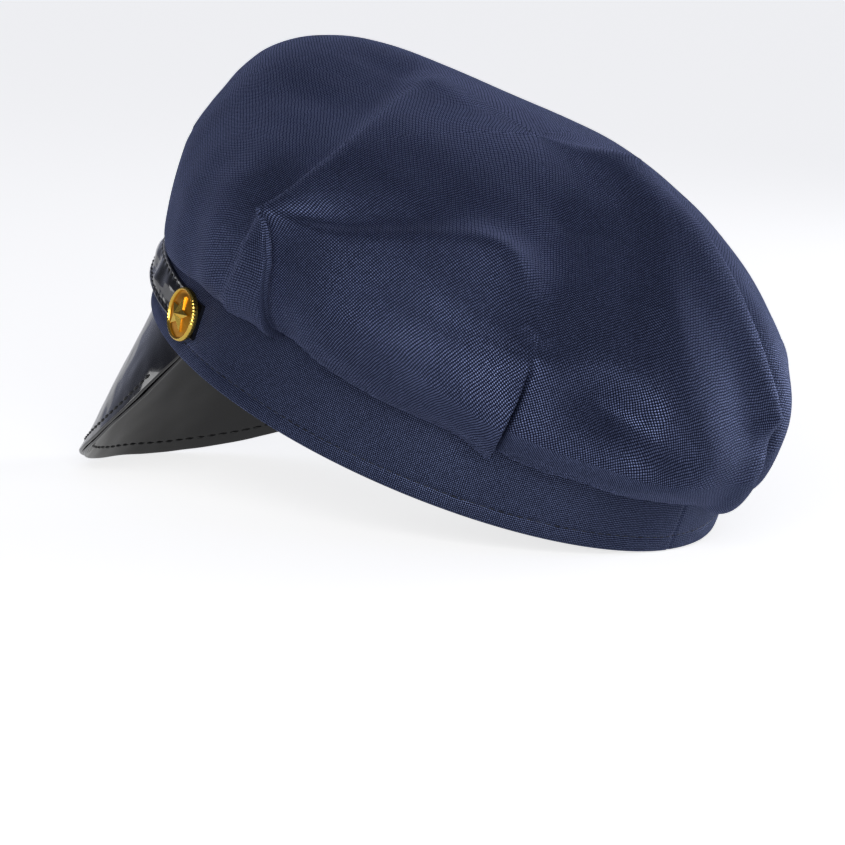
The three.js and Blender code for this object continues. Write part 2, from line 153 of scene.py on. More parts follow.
# %% Grid and mesh helpers
def grid_faces(rows, columns, wrap_rows=False, wrap_columns=False):
    """Quads of each point, the next in its row, and the two beside them in the next row."""
    row = np.arange(rows if wrap_rows else rows - 1)
    column = np.arange(columns if wrap_columns else columns - 1)
    row, column = np.meshgrid(row, column, indexing="ij")
    next_row, next_column = (row + 1) % rows, (column + 1) % columns
    corners = [row * columns + column, row * columns + next_column,
               next_row * columns + next_column, next_row * columns + column]
    return np.stack(corners, -1).reshape(-1, 4)


def fan(ring, apex):
    """Triangles from each side of a closed ring of points to an apex."""
    return np.stack([ring, np.roll(ring, -1), np.full(len(ring), apex)], -1)


def make_piece(name, points, faces, uv=None, sharp=None):
    """One object from points (n, 3) in level millimetres and lists of faces; uv is (n, 2) in metres."""
    mesh = bpy.data.meshes.new(name)
    all_faces = [face for group in faces for face in np.asarray(group).tolist()]
    mesh.from_pydata(stand(points).tolist(), [], all_faces)
    mesh.shade_smooth()
    if sharp is not None:
        mesh.set_sharp_from_angle(angle=np.radians(sharp))
    if uv is not None:
        corner = np.empty(len(mesh.loops), dtype=np.int32)
        mesh.loops.foreach_get("vertex_index", corner)
        mesh.uv_layers.new(name="cloth").data.foreach_set("uv", uv[corner].astype(np.float32).ravel())
    mesh.validate()
    piece = bpy.data.objects.new(name, mesh)
    bpy.context.scene.collection.objects.link(piece)
    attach(piece, "root")
    print(f"{name}: {len(mesh.vertices)} points, {len(mesh.polygons)} faces")
    return piece


def smooth_step(value, low, high):
    """0 below low, 1 above high, and an S curve between."""
    t = np.clip((value - low) / (high - low), 0, 1)
    return t * t * (3 - 2 * t)


def bell(distance, width):
    """1 at no distance, falling off as exp(-(distance / width)^2)."""
    return np.exp(-(distance / width) ** 2)


def cubic(a, b, c, d, f):
    """The curve from b, where f is 0, to c, where f is 1, that keeps the slope of its neighbours."""
    return 0.5 * (2 * b + (c - a) * f + (2 * a - 5 * b + 4 * c - d) * f ** 2
                  + (3 * b - a - 3 * c + d) * f ** 3)


WAVES = 14


def soft_waves(x, y, size, seed):
    """Gentle unevenness of about unit height: a sum of plane waves in random directions, each with
    a wavelength near `size`."""
    draw = np.random.default_rng(seed)
    total = np.zeros(np.broadcast(x, y).shape)
    for _ in range(WAVES):
        heading, phase = draw.uniform(0, 2 * np.pi, 2)
        length = size * draw.uniform(0.7, 1.7)
        total += np.cos(2 * np.pi / length * (x * np.cos(heading) + y * np.sin(heading)) + phase)
    return total / np.sqrt(WAVES / 2)


# %% The oval of the band
ARC = 1.6                 # millimetres along the band to a degree, nearly


def outward(at):
    """The level direction straight out of the band at an angle from the front."""
    turn = np.radians(at)
    x, y = np.sin(turn) / BAND_SIDE, -np.cos(turn) / BAND_LENGTH
    length = np.hypot(x, y)
    return np.stack([x / length, y / length, np.zeros_like(length)], -1)


def oval(at, out, height):
    """A point beside the band: its ellipse at an angle, moved `out` straight outwards and raised."""
    at, out, height = np.broadcast_arrays(*(np.asarray(v, float) for v in (at, out, height)))
    turn = np.radians(at)
    ring = np.stack([BAND_SIDE * np.sin(turn), -BAND_LENGTH * np.cos(turn), height], -1)
    return ring + outward(at) * out[..., None]


# %% [markdown]
# ## The crown
#
# The real crown is one round of cloth. Its edge is taken in by eight stitched pleats and sewn to
# the top of the band, and the fullness rolls over and hangs a little below the seam. It could be
# simulated, but a simulation never falls into the same folds as a given cap. So the crown is
# built as a pattern cutter sees it: a spot of cloth is given by its angle round the head and by
# `up`, its share of the way from the seam to the centre. A plain form comes first, blended
# between eight sections, then each fold adds its height along a line drawn on the flat cloth.

# %% Sections of the plain crown
CLOTH = 162.0             # from the seam to the centre, along the cloth
TUCK = 0.06               # share of that length that is turned under
WIDEST = 0.24             # share at which the crown is widest
TOP = 95.5                # height at the centre
SLOPE = 7.9               # fall towards the back, per 100 mm
CENTRE = 4.25             # how far behind the middle of the band the centre lies
TOP_FULL = 1.76           # 2 is an ellipse, more is squarer
LIP_FULL = 2.1
TURN = 0.35               # clearance from the band's face to the cloth turned under
CROWN_WALL = 1.4

SECTION_NAMES = ("at", "out", "widest", "full", "lip_out", "lip")
SECTIONS = np.array([
    (0, 3.5, 71.0, 2.35, 2.0, 23.5),
    (45, 5.0, 46.0, 2.15, 2.0, 22.2),
    (90, 15.5, 52.5, 2.35, 2.6, 28.4),
    (135, 16.0, 35.5, 2.13, 3.6, 24.7),
    (180, 13.5, 30.5, 1.87, 6.0, 20.1),
    (225, 10.2, 43.5, 1.65, 5.0, 20.4),
    (270, 19.0, 46.0, 2.10, 3.2, 25.6),
    (315, 10.2, 50.0, 2.10, 2.0, 22.5),
])


def section(name, at):
    """A column of SECTIONS at any angle: a smooth closed curve through the rows."""
    values = SECTIONS[:, SECTION_NAMES.index(name)]
    place = np.mod(at, 360) / (360 / len(values))
    row = np.floor(place).astype(int)
    return cubic(*(values[(row + step) % len(values)] for step in (-1, 0, 1, 2)), place - row)


# %% The crown without its folds
def turned_under(at, up, inset):
    """The hidden edge: over the band's top, down its face, and out round the lip in a quarter turn."""
    share = up / TUCK
    lip_out, lip = section("lip_out", at), section("lip", at)
    seam = BAND_HEIGHT + GAP + inset
    face = TURN + inset
    turn = lip_out - TURN
    over = np.clip(share / 0.2, 0, 1)
    down = np.clip((share - 0.2) / 0.3, 0, 1)
    angle = np.clip(share - 0.5, 0, 0.5) * np.pi
    out = np.where(share <= 0.5, (0.2 - BAND_WALL) * (1 - over) + face * over,
                   lip_out - (turn - inset) * np.cos(angle))
    height = np.where(share <= 0.5, seam * (1 - down) + (lip + turn) * down,
                      lip + turn - (turn - inset) * np.sin(angle))
    return oval(at, out, height)


def plain_crown(at, up, inset):
    """Turned under to TUCK; then a squared quarter ellipse from the lip out to the widest line;
    then another from there up to the centre. `inset` moves the spot in through the wall."""
    lip_out, lip, widest = (section(name, at) for name in ("lip_out", "lip", "widest"))
    rim = oval(at, section("out", at) - inset, 0.0)
    angle = np.clip((up - TUCK) / (WIDEST - TUCK), 0, 1) * np.pi / 2
    spread = (np.sin(angle) ** (2 / LIP_FULL))[..., None]
    roll = oval(at, lip_out, 0.0) * (1 - spread) + rim * spread
    roll[..., 2] = widest - (widest - lip - inset) * np.abs(np.cos(angle)) ** (2 / LIP_FULL)
    angle = np.clip((up - WIDEST) / (1 - WIDEST), 0, 1) * np.pi / 2
    spread = np.abs(np.cos(angle)) ** (2 / section("full", at))
    y = CENTRE + (rim[..., 1] - CENTRE) * spread
    height = TOP - inset - SLOPE * (y - CENTRE) / 100 - widest
    dome = np.stack([rim[..., 0] * spread, y, widest + height * np.sin(angle) ** (2 / TOP_FULL)], -1)
    up = up[..., None]
    return np.where(up < TUCK, turned_under(at, up[..., 0], inset), np.where(up < WIDEST, roll, dome))


# %% [markdown]
# ### Pleats and folds
#
# A pleat is a stitched line from the lip up to its tip, where the cloth on one side laps over the
# cloth on the other, with a furrow in the slit between them and shade painted into the cloth's
# colour there. A fold is softer: a crest or a valley along a path on the flat cloth, with a width
# on each side, so that one side can fall away sharply and the other gently.

# %% Tables of pleats and folds
Pleat = namedtuple("Pleat", "at tip_at tip before after wide")
PLEATS = [
    Pleat(2, 0, 0.34, 2, -0.8, 16),
    Pleat(28, 28, 0.28, 0.6, -0.3, 14),
    Pleat(90, 84, 0.40, 1.5, -1.5, 10),
    Pleat(132.5, 135, 0.45, 2.6, -1.5, 9),
    Pleat(183, 193, 0.40, 3.2, -3, 12),
    Pleat(232, 230, 0.36, 2.2, -1, 16),
    Pleat(272, 276, 0.36, 2.2, -1, 16),
    Pleat(315, 312, 0.34, 2, -0.8, 16),
]

# A fold's path is a list of (angle, up). `before` and `after` are the widths to the left and the
# right of it; at its first station both are `start` times as wide.
Fold = namedtuple("Fold", "path high far before after start")
SWAG = [(85, 0.385), (95, 0.445), (103, 0.52), (111, 0.585), (119, 0.63), (127, 0.64)]
FOLDS = [
    # tongue beside the first side pleat
    Fold([(80, 0.13), (83, 0.2), (83.8, 0.29), (83.2, 0.385)], 2.4, 0.9, 2.6, 9, 1),
    # ridge from that pleat forward over the top
    Fold([(84, 0.395), (84.5, 0.51), (83.5, 0.565), (81.5, 0.63),
          (78, 0.69), (70.5, 0.75), (54, 0.8), (30, 0.845)], 4, 0.8, 4.5, 16, 0.4),
    # hollow in front of the ridge
    Fold([(82, 0.41), (80, 0.55), (74, 0.65), (62, 0.71), (42, 0.75), (12, 0.77)], -2, 2.4, 22, 7, 0.4),
    # hollow in front of the tongue
    Fold([(79, 0.17), (81, 0.24), (82, 0.36)], -1, 1.2, 6, 3, 1),
    # swell of the front lobe
    Fold([(72, 0.14), (72, 0.26), (70, 0.42)], 0.5, 1, 9, 7, 1),
    # hollow of the front lobe
    Fold([(66, 0.14), (65, 0.26), (60, 0.4)], -0.8, 0.8, 14, 14, 1),
    # gather that fans from the pleat tip
    Fold([(85, 0.4), (91, 0.53), (98, 0.63)], 1.2, 1.8, 13, 10, 0.3),
    # hollow above the swag
    Fold([(86, 0.395), (96, 0.485), (103, 0.57), (110, 0.635), (117, 0.69),
          (126, 0.725)], -1.8, 1, 9, 9, 0.3),
    # swag between the side pleats
    Fold(SWAG, 2.4, 1.4, 11, 24, 0.4),
    # edge of the swag
    Fold(SWAG, 1, 1.2, 4.5, 4.5, 0.4),
    # end of the swag
    Fold([(126, 0.635), (132.5, 0.6), (136.5, 0.53)], 2.6, 1, 8, 13, 1),
    # wedge behind the first side pleat
    Fold([(94, 0.12), (93, 0.24), (89, 0.35)], -1.2, 0.6, 4, 12, 1),
    # swell of the side
    Fold([(104, 0.27), (114, 0.33), (126, 0.4)], 2, 1, 20, 18, 1),
    # flat spot on the side
    Fold([(119, 0.28), (119, 0.42)], -1.6, 1, 8, 8, 1),
    # hollow above the second side pleat
    Fold([(136, 0.53), (137, 0.62), (140, 0.71), (146, 0.79)], -6.5, 0.8, 8, 10, 1),
    # ridge behind that hollow
    Fold([(160, 0.32), (162, 0.42), (165, 0.52), (170, 0.62), (179, 0.7), (190, 0.76)], 6, 0.7, 8, 26, 1),
    # step behind the second side pleat
    Fold([(137, 0.46), (145, 0.49), (153, 0.51)], 2.4, 1, 8, 9, 1),
    # dent under the step
    Fold([(150, 0.41), (157, 0.38), (163, 0.33)], -5.6, 0.8, 8, 10, 1),
    # ridge from the back pleat over the top
    Fold([(192, 0.4), (191.5, 0.47), (192.5, 0.54), (195, 0.61), (201, 0.69), (214, 0.76),
          (232, 0.81)], 6.2, 1.1, 16, 4, 0.6),
    # hollow behind that ridge
    Fold([(189, 0.13), (195, 0.33), (199, 0.45), (203, 0.54), (214, 0.61),
          (233, 0.69)], -4.2, 0.9, 5, 10, 1),
    # fullness of the front
    Fold([(0, 0.55), (40, 0.5)], 2, 1, 30, 30, 1),
]

PANELS = list(zip(PLEATS, PLEATS[1:] + PLEATS[:1]))    # the pleats at each panel's two sides
GROOVE = 1.0              # depth of the furrow under a pleat's edge, as a share of its step
GROOVE_WIDTH = 1.2
PAINTED_SHADE_WIDTH = 2.8         # reach of the painted shade in a pleat's slit over its lower side
FREE = 0.75               # share of a pleat's length past which its edge closes towards the tip


def flat(at, up):
    """A spot of the cloth laid flat, in millimetres, with the crown's centre in the middle."""
    turn = np.radians(at)
    return np.stack([np.sin(turn), -np.cos(turn)], -1) * (CLOTH * (1 - np.asarray(up)))[..., None]


def curve_through(stations, steps=5):
    """Points on a smooth curve through the stations, `steps` to each span between two of them."""
    p = np.vstack([stations[:1], stations, stations[-1:]])
    f = np.arange(steps)[:, None] / steps
    spans = [cubic(a, b, c, d, f) for a, b, c, d in zip(p[:-3], p[1:-2], p[2:-1], p[3:])]
    return np.vstack([*spans, stations[-1:]])


def beside_path(spots, path):
    """For each spot: how far off the path it lies (below zero before the path, above zero after it),
    how far it lies beyond the path's ends, and how far along the path it is, from 0 to 1."""
    curve = curve_through(flat(*np.array(path, float).T))
    steps = np.diff(curve, axis=0)
    lengths = np.linalg.norm(steps, axis=1)
    starts = np.concatenate([[0], np.cumsum(lengths)])
    nearest = np.full(spots.shape[:-1], np.inf)
    off, beyond, share = np.zeros((3, *nearest.shape))
    for number, (start, step) in enumerate(zip(curve, steps / lengths[:, None])):
        along = (spots - start) @ step
        across = (spots - start) @ np.array([step[1], -step[0]])
        held = np.clip(along, 0, lengths[number])
        distance = np.hypot(across, along - held)
        past = ((number == 0) & (along < 0)) | ((number == len(steps) - 1) & (along > held))
        closer = distance < nearest
        nearest = np.where(closer, distance, nearest)
        off = np.where(closer, np.where(past, across, np.sign(across) * distance), off)
        beyond = np.where(closer, np.where(past, along - held, 0), beyond)
        share = np.where(closer, (starts[number] + held) / starts[-1], share)
    return off, beyond, share


# %% Heights of the pleats and folds
def angle_between(start, end):
    """The turn from start to end, from -180 to 180 degrees."""
    return (np.asarray(end) - start + 180) % 360 - 180


def pleat_line(pleat, up):
    """The angle of a pleat at each `up`: square to the lip at first, then bending to its tip."""
    bent = np.clip((up - TUCK) / (pleat.tip - TUCK), 0, 1) ** 2
    return pleat.at + angle_between(pleat.at, pleat.tip_at) * bent


def beside_pleat(pleat, at, up):
    """Millimetres of cloth between a spot and a pleat's line."""
    return CLOTH * (1 - up) * np.radians(np.abs(angle_between(pleat_line(pleat, up), at)))


def pleat_open(pleat, up):
    """1 where a pleat's edge lies free, falling to 0 at its tip."""
    return 1 - smooth_step(up, pleat.tip * FREE, pleat.tip)


def fold_height(at, up, panel):
    """Every fold is a bell across its path: high * exp(-(off / width)^2 - (beyond / end)^2), with a
    width for each side and their mean for the ends. The widths grow along the path from `start`
    times to all of them, and the height changes evenly to `far` times as much. The pleats add a
    bell at each edge of their panels and a furrow under their edge, which die out at the tip."""
    spots = flat(at, up)
    height = np.zeros(at.shape)
    for fold in FOLDS:
        off, beyond, share = beside_path(spots, fold.path)
        spread = fold.start + (1 - fold.start) * share
        width = np.where(off < 0, fold.before, fold.after) * spread
        end = (fold.before + fold.after) / 2 * spread
        high = fold.high * (1 + (fold.far - 1) * share)
        height += high * np.exp(-(off / width) ** 2 - (beyond / end) ** 2)
    for number, pleat in enumerate(PLEATS):
        across = beside_pleat(pleat, at, up)
        fade = np.abs(np.cos(np.clip(up / pleat.tip, 0, 1) * np.pi / 2)) ** 0.4
        side = bell(across, pleat.wide)
        groove = (pleat.before - pleat.after) * GROOVE * bell(across, GROOVE_WIDTH)
        height += np.where(panel == number, pleat.after * side - groove, 0) * fade
        height += np.where(panel == (number - 1) % len(PLEATS), pleat.before * side, 0) * fade
    return height


def crown_surface(at, up, inset, folds):
    """The plain crown with its folds, raised along a direction that turns from straight down at
    the lip, through straight out at the widest line, to straight up at the centre."""
    below = (up - WIDEST) / (WIDEST - TUCK)
    above = (up - WIDEST) / (1 - WIDEST)
    angle = np.where(up < WIDEST, np.maximum(-1, below), above) * np.pi / 2
    raised = outward(at) * np.cos(angle)[..., None]
    raised[..., 2] = np.sin(angle)
    fade = smooth_step(up, TUCK / 2, TUCK)
    return plain_crown(at, up, inset) + raised * (folds * fade)[..., None]


# %% The crown's grid
PANEL_COLUMNS = 46
OUTER_ROWS = (10, 34, 100)       # in the tuck, on the roll, on the dome
INNER_ROWS = (6, 10, 26)
LAST_ROW = 0.995                 # `up` of the row round the centre
LAP = 0.35                       # degrees by which a pleat's upper edge laps over the lower
CLEAR = 0.05                     # degrees that a panel keeps off its pleat's line
CROWDED = 0.11                   # by how much the columns crowd towards the pleats
WRINKLES = [(46.0, 0.30, 3), (17.0, 0.07, 4)]    # size, height and seed of the cloth's small waves


def crown_rows(counts):
    """The `up` of each row, from the seam to the centre."""
    tuck, roll, dome = counts
    marks = [np.linspace(0, TUCK, tuck, endpoint=False), np.linspace(TUCK, WIDEST, roll, endpoint=False),
             np.linspace(WIDEST, LAST_ROW, dome)]
    return np.concatenate(marks)


def crown_grid(ups, lap):
    """Angle and panel of each point of the grid. Columns run from pleat to pleat, closer together
    beside a pleat; along a pleat each panel ends `lap` degrees beyond the line."""
    ups = ups[:, None]
    share = np.linspace(0, 1, PANEL_COLUMNS)[None, :]
    share = share - np.sin(2 * np.pi * share) * CROWDED
    angles = []
    for pleat, after in PANELS:
        start = pleat_line(pleat, ups) - lap * pleat_open(pleat, ups) + CLEAR
        span = (pleat_line(after, ups) + lap * pleat_open(after, ups) - CLEAR - start) % 360
        angles.append(start + span * share)
    at = np.concatenate(angles, 1)
    return at, np.broadcast_to(np.repeat(np.arange(len(PANELS)), PANEL_COLUMNS), at.shape)


def cloth_wrinkles(at, up):
    """The small unevenness of a soft cloth, in millimetres: two sizes of waves on the flat cloth."""
    x, y = np.moveaxis(flat(at, up), -1, 0)
    return sum(soft_waves(x, y, size, seed) * height for size, height, seed in WRINKLES)


def painted_slit_shade(at, up, panel):
    """How much shade is painted into the cloth in a pleat's slit, on the side below its edge: 1 at
    the slit itself, falling to 0 beside it and towards the pleat's tip."""
    shade = np.zeros(at.shape)
    for number, pleat in enumerate(PLEATS):
        depth = bell(beside_pleat(pleat, at, up), PAINTED_SHADE_WIDTH) * pleat_open(pleat, up)
        shade += np.where(panel == number, depth, 0)
    return shade


def crown_uv(points, at, panel):
    """Where each point lies on its wedge of the unfolded cloth, in metres. The wedge is as long as
    the way over the crown to its centre and as wide as the panel really is, so that the weave has
    one size everywhere and turns with the cloth."""
    steps = np.linalg.norm(np.diff(points, axis=0), axis=2).mean(1)
    length = np.concatenate([np.cumsum(steps[::-1])[::-1], [0]])[:, None] + 1.0
    reach = np.hypot(points[..., 0], points[..., 1] - CENTRE).mean(1)[:, None]
    middle = np.array([pleat.at + (after.at - pleat.at) % 360 / 2 for pleat, after in PANELS])[panel]
    turn = np.radians(middle + angle_between(middle, at) * reach / length)
    return np.stack([np.sin(turn), -np.cos(turn)], -1) * (length * MM)[..., None]


def crown_sheet(counts, inset, lap):
    """Points, places on the cloth and the painted shade in the slits of one face of the crown's cloth."""
    ups = crown_rows(counts)
    at, panel = crown_grid(ups, lap)
    up = np.broadcast_to(ups[:, None], at.shape)
    points = crown_surface(at, up, inset, fold_height(at, up, panel) + cloth_wrinkles(at, up))
    return points, crown_uv(points, at, panel), painted_slit_shade(at, up, panel)


outer, outer_uv, shade = crown_sheet(OUTER_ROWS, 0.0, LAP)
inner, inner_uv, _ = crown_sheet(INNER_ROWS, CROWN_WALL, 0.0)
rows, columns = len(inner) + len(outer), outer.shape[1]
centres = [inner[-1].mean(0), outer[-1].mean(0)]
points = np.concatenate([inner[::-1].reshape(-1, 3), outer.reshape(-1, 3), centres])
uv = np.concatenate([inner_uv[::-1].reshape(-1, 2), outer_uv.reshape(-1, 2), np.zeros((2, 2))])
# The painted shade in the pleats' slits, which darkens the cloth's colour; the inner face has none.
slit = np.concatenate([np.zeros(len(inner) * columns), shade.ravel(), [0, 0]])
ring = np.arange(columns)
faces = [grid_faces(rows, columns, wrap_columns=True), fan(ring[::-1], rows * columns),
         fan((rows - 1) * columns + ring, rows * columns + 1)]
crown = make_piece("crown_cloth", points, faces, uv)
crown.data.attributes.new("slit", "FLOAT", "POINT").data.foreach_set("value", slit.astype(np.float32))
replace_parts(crown, "crown")

# %% [markdown]
# ## The headband
#
# A strip of the same cloth over a stiff core, turned up at the lower edge and topstitched, and
# closed by a seam at the back. A profile carried round the oval gives it: the stitching lies in a
# shallow groove, and at the seam the two ends meet in a furrow, one end a touch prouder.

# %% The headband
STITCH_UP = 5.2           # height of the topstitching over the lower edge
FOLD = 0.95               # radius of the turned-up lower edge


def band_profile():
    """Out and height of the band's section, from the top of its inner face, down, round the fold of
    the lower edge in a half turn, and up to the top of its outer face."""
    inside = np.linspace(BAND_HEIGHT, FOLD + 0.3, 14)
    half = np.linspace(0, np.pi, 11)
    outside = np.concatenate([np.arange(1.2, 8, 0.3), np.linspace(8.2, BAND_HEIGHT - 0.4, 18)])
    out = [np.full(14, -BAND_WALL), -BAND_WALL / 2 - BAND_WALL / 2 * np.cos(half),
           np.zeros(len(outside)), [-0.25, -0.5]]
    height = [inside, FOLD - FOLD * np.sin(half), outside, [BAND_HEIGHT - 0.1, BAND_HEIGHT]]
    return np.concatenate(out), np.concatenate(height)


def band_relief(at, height):
    """The groove of the topstitching, the back seam, and a slight unevenness of the cloth."""
    arc = angle_between(180, at) * ARC
    groove = -0.28 * bell(height - STITCH_UP, 0.75) + 0.10 * bell(height - 2.6, 1.5)
    seam = -0.55 * bell(arc, 0.5) - 0.22 * smooth_step(arc, -0.3, 0.3) * (1 - smooth_step(arc, 2, 26))
    waves = soft_waves(at * ARC, height, 38.0, 8) * 0.16 * smooth_step(height, 0, 6)
    return groove + seam + waves


profile_out, profile_height = band_profile()
at = np.linspace(0, 360, 520, endpoint=False)
at = at + 2.2 * np.sin(np.radians(at)) - 0.7 * np.sin(np.radians(2 * at))
out = np.broadcast_to(profile_out[:, None], (len(profile_out), len(at)))
height = np.broadcast_to(profile_height[:, None], out.shape)
band_at = np.broadcast_to(at, out.shape)
on_face = smooth_step(out, -BAND_WALL * 0.75, 0.0)
points = oval(band_at, out + band_relief(band_at, height) * on_face, height)
around = np.radians(band_at) * (BAND_SIDE + BAND_LENGTH) / 2 * MM
along = np.concatenate([[0], np.cumsum(np.hypot(np.diff(profile_out), np.diff(profile_height)))]) * MM
uv = np.stack([around, np.broadcast_to(along[:, None], out.shape)], -1).reshape(-1, 2)
band_faces = grid_faces(*out.shape, wrap_rows=True, wrap_columns=True)
headband = make_piece("headband_cloth", points.reshape(-1, 3), [band_faces], uv)
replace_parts(headband, "headband")

# %% [markdown]
# ### Stitches
#
# A row of machine stitches is a dashed line of thread that dips into the cloth at each hole. One
# function lays such a row along any path: each stitch is a small spindle, thick in the middle and
# sunk at both ends, and all of them are worked out at once.

# %% Rows of stitches
def stitch_row(path, normals, length, gap, radius, sides=6):
    """Points and faces of a row of spindles along a path (n, 3) with surface normals (n, 3). Ring k of
    a stitch has the radius of a flattened circle's chord and sinks by the square of its offset."""
    steps = np.linalg.norm(np.diff(path, axis=0), axis=1)
    run = np.concatenate([[0], np.cumsum(steps)])
    number = int(run[-1] / (length + gap))
    middles = (np.arange(number) + 0.5) * run[-1] / number

    def pick(values, spots):
        return np.stack([np.interp(spots, run, values[:, k]) for k in range(3)], -1)

    share = np.array([-1, -0.8, 0, 0.8, 1])
    spots = middles[:, None] + share * length / 2
    centre = pick(path, spots)
    normal = unit(pick(normals, spots))
    across = np.cross(unit(pick(path, spots + 0.1) - pick(path, spots - 0.1)), normal)
    thick = radius * np.array([0.35, 0.8, 1, 0.8, 0.35])
    sink = radius * (0.25 - 1.1 * share ** 4)
    turn = np.arange(sides) * 2 * np.pi / sides
    ring = (centre + normal * sink[:, None])[:, :, None] + thick[:, None, None] * (
        across[:, :, None] * np.cos(turn)[:, None] + normal[:, :, None] * np.sin(turn)[:, None])
    rings = len(share)
    points = ring.reshape(-1, 3)
    first = np.arange(number)[:, None] * rings * sides
    quads = (grid_faces(rings, sides, wrap_columns=True)[None] + first[..., None]).reshape(-1, 4)
    start_cap = first + np.arange(sides)[::-1]
    end_cap = first + (rings - 1) * sides + np.arange(sides)
    return points, [quads, start_cap, end_cap]


def make_stitches(name, rows, length, gap, radius):
    """One object of several stitch rows, each a (path, normals) pair."""
    all_points, all_faces, begun = [], [], 0
    for path, normals in rows:
        points, faces = stitch_row(path, normals, length, gap, radius)
        all_points.append(points)
        all_faces += [group + begun for group in faces]
        begun += len(points)
    return make_piece(name, np.concatenate(all_points), all_faces)


at = np.linspace(0.6, 359.4, 900)
height = np.full(at.shape, STITCH_UP)
path = oval(at, band_relief(at, height) - 0.02, height)
band_stitches = make_stitches("headband_topstitch", [(path, outward(at))], 2.3, 0.7, 0.21)

# %% [markdown]
# ## The peak
#
# Two layers of patent sheet, sewn inside the band, that hang steeply down from it like a shade.
# Each is a section carried round the front of the band: a sewn allowance behind the band, a bend,
# and a straight fall to a rounded rim. The sheet isn't quite even, and only that makes its
# reflections wander, so a few tenths of a millimetre of waves are part of its shape.

# %% The peak's two layers
PEAK_REACH = 63.0         # degrees from the front at which the peak ends
PEAK_DEPTH = 74.0         # fall at the front, along the sheet
PEAK_CURVE = 2.25         # 2 would make the rim a parabola on the unrolled sheet
PEAK_STEEP = (80.5, 85.0) # degrees below level, at the front and at the ends
PEAK_ENDS = 1.2           # height that is left of the peak at its ends
PEAK_ALLOWANCE = 7.0      # sewn in behind the band
PEAK_LAYER = 1.0
PEAK_SEED, UNDERSIDE_SEED = 21, 31


def peak_spot(at, down, depth):
    """A spot `down` along the sheet from the band's lower edge and `depth` in from the upper face.
    Below the edge the sheet falls at an angle that grows from the front to the ends; above it, it
    stands behind the band. The bend between them is rounded."""
    share = (np.abs(at) / PEAK_REACH) ** 2
    steep = np.radians(PEAK_STEEP[0] + (PEAK_STEEP[1] - PEAK_STEEP[0]) * share)
    below = np.maximum(down, 0)
    turn = smooth_step(down, -2.5, 2.5)
    lean = np.pi / 2 - (np.pi / 2 - steep) * turn
    out = -BAND_WALL - GAP + below * np.cos(steep) - depth * np.sin(lean)
    height = -below * np.sin(steep) - np.minimum(down, 0) - depth * np.cos(lean)
    return oval(at, out, height)


def peak_fall(at):
    """How far the sheet falls at an angle: deepest at the front, nothing at the ends."""
    return PEAK_DEPTH * np.maximum(0, 1 - (np.abs(at) / PEAK_REACH) ** PEAK_CURVE)


def peak_waves(at, down, seed):
    """Waves of the sheet in millimetres, none at the seam."""
    broad = soft_waves(at * ARC, down, 34.0, seed) * 0.22
    small = soft_waves(at * ARC, down, 11.0, seed + 1) * 0.035
    return (broad + small) * smooth_step(down, 0, 12)


def peak_layer(top, seed):
    """Points (rows, columns, 3) of one layer: down its upper face, round the rim, up its lower face."""
    at = PEAK_REACH * np.sin(np.linspace(-1, 1, 241) * np.pi / 2)
    share = np.linspace(0, 1, 90)[:, None]
    fall = peak_fall(at)
    edge = PEAK_LAYER * 0.42
    sewn_in = np.linspace(-PEAK_ALLOWANCE, 0, 8)[:-1, None] + 0 * at
    down = np.concatenate([sewn_in, share * (fall + PEAK_ENDS - edge)])
    waves = peak_waves(at, down, seed)
    face = peak_spot(at, down, top - waves)
    half = np.linspace(0, np.pi, 9)[1:-1, None]
    middle = top + PEAK_LAYER / 2 - waves[-1]
    rim_down = down[-1] + edge * np.sin(half)
    rim = peak_spot(at, rim_down, middle - PEAK_LAYER / 2 * np.cos(half))
    back = peak_spot(at, down[::-1], top + PEAK_LAYER - waves[::-1])
    return np.concatenate([face, rim, back])


def make_strip(name, points, sharp):
    """A closed strip of sheet from points (rows, columns, 3): its rows go all the way round the
    section, and a many-sided face closes each end."""
    rows, columns = points.shape[:2]
    row = np.arange(rows) * columns
    faces = [grid_faces(rows, columns, wrap_rows=True), row[None, ::-1], (row + columns - 1)[None]]
    return make_piece(name, points.reshape(-1, 3), [part[:, ::-1] for part in faces], sharp=sharp)


peak = make_strip("peak_patent", peak_layer(0.0, PEAK_SEED), 50)
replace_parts(peak, "peak")
underside = make_strip("peak_underside_patent", peak_layer(PEAK_LAYER + GAP, UNDERSIDE_SEED), 50)
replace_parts(underside, "peak_underside")

# %% The peak's stitching, on both faces
STITCH_IN = 4.8           # from the rim to the row of stitches
STITCH_REACH = 56         # degrees from the front at which the row ends


def peak_row(depth, seed):
    """Path and normals of the row a little in from the rim, on the face at `depth`."""
    at = np.linspace(-STITCH_REACH, STITCH_REACH, 500)
    down = peak_fall(at) + PEAK_ENDS - STITCH_IN
    path = peak_spot(at, down, depth - peak_waves(at, down, seed))
    return path, peak_spot(at, down, -1.0) - peak_spot(at, down, 0.0)


front_row = peak_row(0.0, PEAK_SEED)
back_row = peak_row(2 * PEAK_LAYER + GAP, UNDERSIDE_SEED)
peak_stitches = make_stitches("peak_stitching", [front_row, (back_row[0], -back_row[1])], 3.4, 0.6, 0.42)

# %% [markdown]
# ## The strap
#
# A narrow strap of the same patent sheet crosses the front above the peak, held by the buttons at
# its ends, with a row of stitches along both edges. Its lower edge hangs away from the band at the
# front. The stitches pull the sheet in, so its edges pucker between them.

# %% The strap
STRAP_REACH = 69.0        # degrees from the front at which the strap ends
STRAP_LOW, STRAP_HIGH = 8.5, 20.5
STRAP_WALL = 1.3
STRAP_ROUND = 0.3         # how much of the height each rounded edge takes
STRAP_STAND = 2.2         # how far the lower edge stands off at the front
BUTTON_AT = 65.0
STRAP_STITCH = 1.5        # from an edge to its row of stitches


